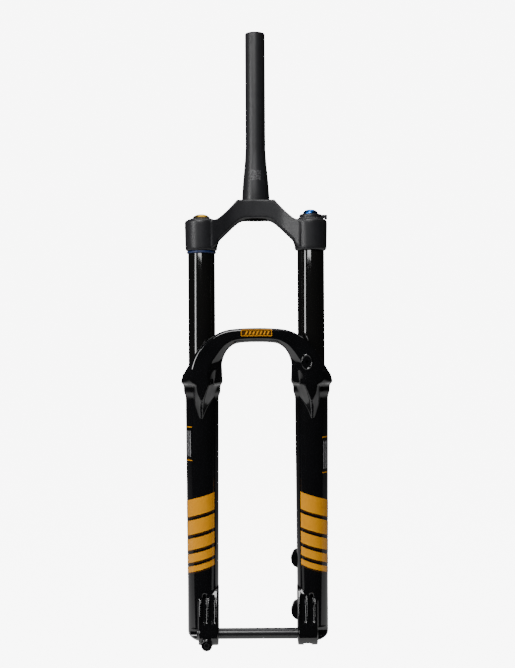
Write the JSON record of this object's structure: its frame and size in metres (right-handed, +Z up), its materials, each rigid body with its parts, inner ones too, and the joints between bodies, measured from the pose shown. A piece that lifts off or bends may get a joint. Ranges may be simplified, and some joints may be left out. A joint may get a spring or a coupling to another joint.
{
  "type": "bicycle suspension fork",
  "caption": "Single-crown bicycle suspension fork: tapered steerer, crown, sliding lower casting with arch, air spring, damper, adjusters and thru-axle.",
  "frame": {"origin": "steerer axis at the crown race seat plane", "axes": "+Z up the steerer, -Y forward along the bicycle, +X to the rider's left, the side with the damper and the brake posts"},
  "size_m": [0.2136, 0.0915, 0.8712],
  "materials": {
    "crown_black": "satin black anodised forging",
    "casting_black": "gloss black paint over magnesium",
    "stanchion_black": "hard black low-friction coating, polished",
    "gold_anodised": "gold anodised, semi-gloss",
    "blue_anodised": "blue anodised, semi-gloss",
    "seal_rubber": "moulded, matte",
    "navy_rubber": "moulded navy, slight sheen",
    "steel": "ground",
    "black_steel": "black oxide",
    "raw_alloy": "machined",
    "brass": "machined",
    "bronze": "coated bearing bronze",
    "foam": "oil-soaked open foam",
    "spacer_plastic": "moulded orange",
    "copper": "soft copper washer",
    "axle_black": "gloss black anodised"
  },
  "bodies": {
    "crown_unit": {"steerer_tube": "crown_black", "crown": "crown_black", "air_stanchion": "stanchion_black", "damper_stanchion": "stanchion_black", "air_top_cap": "crown_black", "air_valve": "brass", "volume_spacer_1": "spacer_plastic", "volume_spacer_2": "spacer_plastic", "air_seal_head": "raw_alloy", "top_out_bumper": "seal_rubber", "damper_top_cap": "crown_black", "cartridge_tube": "raw_alloy", "compression_stem": "steel", "base_valve": "raw_alloy", "damper_seal_head": "raw_alloy", "compensator_spring": "steel"},
    "lowers": {"lower_casting": "casting_black", "air_wiper_seal": "seal_rubber", "air_foam_ring": "foam", "air_upper_bushing": "bronze", "air_lower_bushing": "bronze", "air_bottom_out_bumper": "seal_rubber", "air_crush_washer": "copper", "damper_wiper_seal": "seal_rubber", "damper_foam_ring": "foam", "damper_upper_bushing": "bronze", "damper_lower_bushing": "bronze", "damper_bottom_out_bumper": "seal_rubber", "damper_crush_washer": "copper", "air_shaft": "steel", "air_piston": "raw_alloy", "air_piston_seal": "seal_rubber", "air_foot_bolt": "steel", "damper_shaft": "steel", "damper_piston": "raw_alloy", "damper_piston_ring": "bronze", "damper_foot_nut": "steel", "axle_insert": "raw_alloy"},
    "air_valve_cap": {"air_valve_cap": "gold_anodised"},
    "compression_lever": {"compression_lever": "crown_black"},
    "compression_knob": {"compression_knob": "blue_anodised"},
    "rebound_adjuster": {"rebound_knob": "gold_anodised", "rebound_rod": "steel"},
    "thru_axle": {"thru_axle": "axle_black"},
    "pinch_bolt": {"pinch_bolt": "black_steel"},
    "sag_ring": {"sag_ring": "navy_rubber"},
    "floating_piston": {"floating_piston": "raw_alloy", "floating_piston_seal": "seal_rubber"}
  },
  "joints": [
    {"name": "fork_travel", "type": "slide", "parent": "crown_unit", "child": "lowers", "axis": [0, 0, 1], "range_m": [0, 0.16], "stiffness_N_per_m": 4000, "springref_m": -0.02},
    {"name": "air_cap_lift", "type": "slide", "parent": "crown_unit", "child": "air_valve_cap", "axis": [0, 0, 1], "range_m": [0, 0.015]},
    {"name": "compression_lever_turn", "type": "hinge", "parent": "crown_unit", "child": "compression_lever", "pos_m": [0.0775, -0.024, -0.024], "axis": [0, 0, 1], "range_deg": [-90, 0]},
    {"name": "compression_knob_turn", "type": "hinge", "parent": "crown_unit", "child": "compression_knob", "pos_m": [0.0775, -0.024, -0.018], "axis": [0, 0, 1], "range_deg": [0, 330]},
    {"name": "sag_ring_slide", "type": "slide", "parent": "crown_unit", "child": "sag_ring", "axis": [0, 0, -1], "range_m": [0, 0.006]},
    {"name": "floating_piston_slide", "type": "slide", "parent": "crown_unit", "child": "floating_piston", "axis": [0, 0, 1], "range_m": [0, 0.0272], "deforming": ["compensator_spring"]},
    {"name": "rebound_turn", "type": "hinge", "parent": "lowers", "child": "rebound_adjuster", "pos_m": [0.0775, -0.024, -0.6266], "axis": [0, 0, 1], "range_deg": [0, 330]},
    {"name": "axle_slide", "type": "slide", "parent": "lowers", "child": "thru_axle", "axis": [-1, 0, 0], "range_m": [0, 0.19]},
    {"name": "pinch_bolt_turn", "type": "hinge", "parent": "lowers", "child": "pinch_bolt", "pos_m": [-0.0713, -0.06, -0.6212], "axis": [0, -1, 0], "range_deg": [0, 330]}
  ],
  "couplings": [
    {"joint": "floating_piston_slide", "follows": "fork_travel", "ratio": 0.16}
  ]
}
